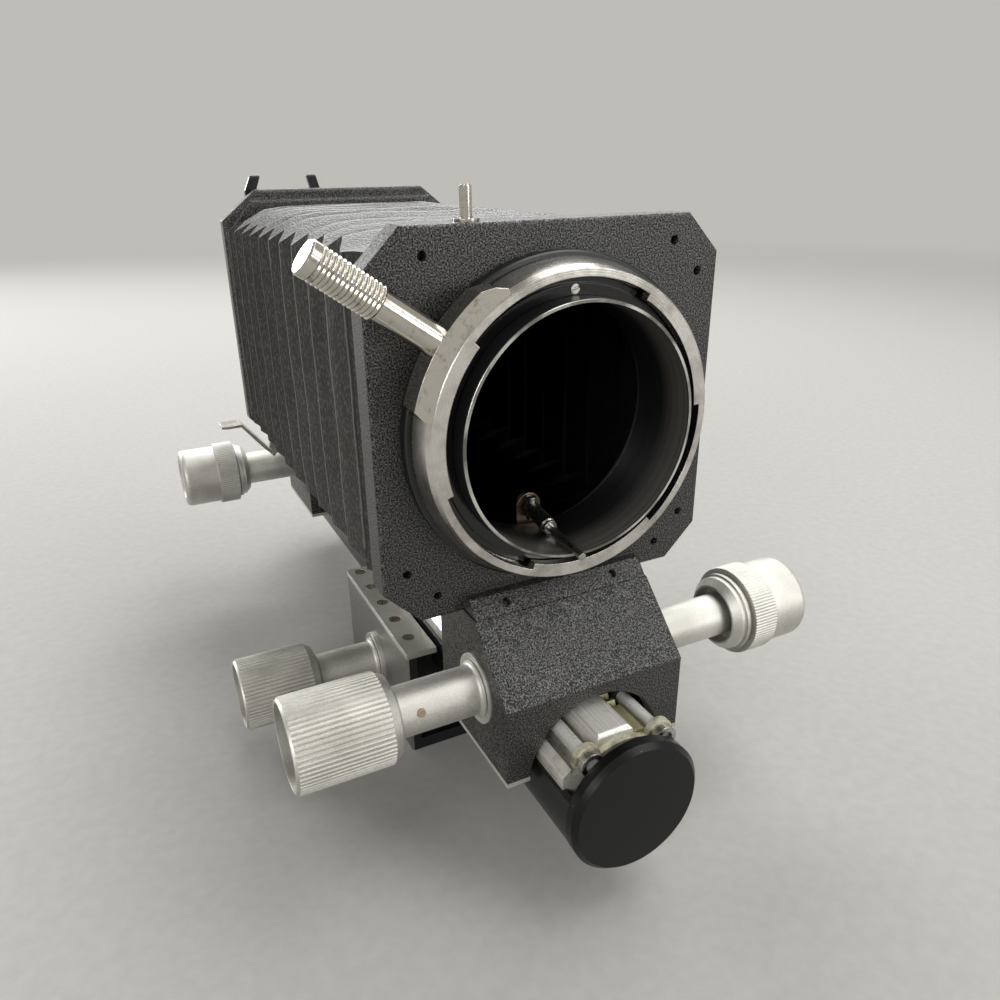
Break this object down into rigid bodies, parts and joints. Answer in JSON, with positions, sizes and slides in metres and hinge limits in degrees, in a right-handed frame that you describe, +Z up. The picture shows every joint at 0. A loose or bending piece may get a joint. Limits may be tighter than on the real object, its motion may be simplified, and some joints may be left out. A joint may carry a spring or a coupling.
{
  "type": "macro bellows unit",
  "caption": "Macro bellows unit: two sliding standards on a round rail with a pleated bellows between them, rack focusing knobs, a breech-ring camera mount and a tripod carriage.",
  "frame": {"origin": "mouth of the tripod thread, in the middle of the carriage's bottom face", "axes": "+Y runs along the rail and the optical axis, from the camera standard towards the lens standard; +Z is up; +X is to the right when looking from the camera"},
  "size_m": [0.1206, 0.201, 0.1343],
  "materials": {
    "crinkle_paint": "matte crinkle",
    "black_enamel": "satin",
    "black_anodised": "satin",
    "blasted_aluminium": "satin",
    "grey_aluminium": "satin",
    "bright_aluminium": "machined",
    "bright_chrome": "polished",
    "bright_steel": "ground",
    "yellow_brass": "dull",
    "copper_pin": "dull",
    "cream_enamel": "satin",
    "leathercloth": "fine grain"
  },
  "bodies": {
    "carriage": {"carriage_body": "grey_aluminium", "carriage_guide": "black_anodised", "carriage_top_plates": "grey_aluminium", "carriage_screws": "yellow_brass", "tripod_bush": "yellow_brass", "carriage_bushes": "blasted_aluminium"},
    "carriage_drive": {"carriage_drive_shaft": "bright_steel", "carriage_focus_knob": "blasted_aluminium"},
    "carriage_lock": {"carriage_lock_knob": "blasted_aluminium"},
    "rail": {"rail_tube": "black_enamel", "rail_bed": "bright_aluminium", "guide_rods": "bright_steel", "standard_rack": "yellow_brass", "carriage_rack": "yellow_brass", "rod_retainers": "cream_enamel", "rod_cups_and_screws": "bright_steel", "front_cap": "black_enamel", "rear_cap": "black_enamel", "cap_grub_screws": "bright_steel"},
    "camera_standard": {"camera_plate": "crinkle_paint", "camera_plate_screws": "bright_steel", "camera_bellows_frame": "black_anodised", "camera_housing": "crinkle_paint", "camera_housing_covers": "grey_aluminium", "camera_runner": "black_anodised", "camera_bushes": "blasted_aluminium", "latch_washer": "bright_chrome", "bellows_camera_part": "leathercloth"},
    "camera_drive": {"camera_drive_shaft": "bright_steel", "camera_focus_knob": "blasted_aluminium", "camera_cross_pin": "copper_pin"},
    "camera_lock": {"camera_lock_knob": "blasted_aluminium"},
    "camera_mount": {"mount_base": "black_enamel", "mount_retaining_ring": "black_enamel", "seat_flange": "black_enamel", "throat_tube": "black_enamel", "mount_screws": "bright_steel", "lever_shield": "black_enamel"},
    "breech": {"breech_ring": "bright_chrome", "breech_lug": "bright_chrome", "breech_handle_rod": "bright_chrome", "breech_handle_grip": "bright_chrome"},
    "aperture_lever": {"aperture_lever": "bright_steel"},
    "latch": {"latch_pin": "bright_chrome", "latch_spring": "bright_steel"},
    "lens_standard": {"lens_plate": "crinkle_paint", "lens_standard_screws": "bright_steel", "lens_bellows_frame": "black_anodised", "lens_housing": "crinkle_paint", "lens_housing_covers": "grey_aluminium", "lens_runner": "black_anodised", "lens_bushes": "blasted_aluminium", "lens_mount_ring": "bright_chrome", "lens_fork": "black_anodised", "bellows_lens_part": "leathercloth"},
    "lens_drive": {"lens_drive_shaft": "bright_steel", "lens_focus_knob": "blasted_aluminium"},
    "lens_lock": {"lens_lock_knob": "blasted_aluminium"},
    "lens_lever": {"stop_down_lever": "black_anodised"}
  },
  "joints": [
    {"name": "rail_slide", "type": "slide", "parent": "carriage", "child": "rail", "axis": [0, 1, 0], "range_m": [-0.01, 0.006]},
    {"name": "camera_slide", "type": "slide", "parent": "rail", "child": "camera_standard", "axis": [0, 1, 0], "range_m": [-0.006, 0.01], "deforming": ["bellows_camera_part"]},
    {"name": "lens_slide", "type": "slide", "parent": "rail", "child": "lens_standard", "axis": [0, 1, 0], "range_m": [-0.036, 0.0025], "deforming": ["bellows_lens_part"]},
    {"name": "carriage_drive_turn", "type": "hinge", "parent": "carriage", "child": "carriage_drive", "pos_m": [0, 0, 0.0135], "axis": [1, 0, 0], "range_deg": [-107.5, 179.2]},
    {"name": "camera_drive_turn", "type": "hinge", "parent": "camera_standard", "child": "camera_drive", "pos_m": [0, -0.0596, 0.0411], "axis": [1, 0, 0], "range_deg": [-119.5, 71.8]},
    {"name": "lens_drive_turn", "type": "hinge", "parent": "lens_standard", "child": "lens_drive", "pos_m": [0, 0.09, 0.0411], "axis": [1, 0, 0], "range_deg": [-29.9, 429.9]},
    {"name": "carriage_lock_turn", "type": "hinge", "parent": "carriage", "child": "carriage_lock", "pos_m": [0, 0, 0.0135], "axis": [1, 0, 0], "range_deg": [0, 180]},
    {"name": "camera_lock_turn", "type": "hinge", "parent": "camera_standard", "child": "camera_lock", "pos_m": [0, -0.0596, 0.0411], "axis": [1, 0, 0], "range_deg": [0, 180]},
    {"name": "lens_lock_turn", "type": "hinge", "parent": "lens_standard", "child": "lens_lock", "pos_m": [0, 0.09, 0.0411], "axis": [-1, 0, 0], "range_deg": [0, 180]},
    {"name": "mount_turn", "type": "hinge", "parent": "camera_standard", "child": "camera_mount", "pos_m": [0, -0.0546, 0.092], "axis": [0, 1, 0], "range_deg": [0, 90]},
    {"name": "breech_turn", "type": "hinge", "parent": "camera_mount", "child": "breech", "pos_m": [0, -0.0546, 0.092], "axis": [0, -1, 0], "range_deg": [0, 50]},
    {"name": "latch_press", "type": "slide", "parent": "camera_standard", "child": "latch", "axis": [0, 0, 1], "range_m": [-0.0012, 0], "stiffness_N_per_m": 300, "springref_m": 0.002, "deforming": ["latch_spring"]},
    {"name": "aperture_lever_swing", "type": "hinge", "parent": "camera_mount", "child": "aperture_lever", "pos_m": [-0.0017, -0.0485, 0.072], "axis": [0, 0, 1], "range_deg": [0, 8], "stiffness_Nm_per_rad": 0.002, "springref_deg": -17.19},
    {"name": "stop_down_swing", "type": "hinge", "parent": "lens_standard", "child": "lens_lever", "pos_m": [-0.0238, 0.0789, 0.0628], "axis": [0, 1, 0], "range_deg": [0, 15]}
  ],
  "couplings": [
    {"joint": "carriage_drive_turn", "follows": "rail_slide", "rad_per_m": -312.5},
    {"joint": "camera_drive_turn", "follows": "camera_slide", "rad_per_m": -208.33},
    {"joint": "lens_drive_turn", "follows": "lens_slide", "rad_per_m": -208.33}
  ]
}
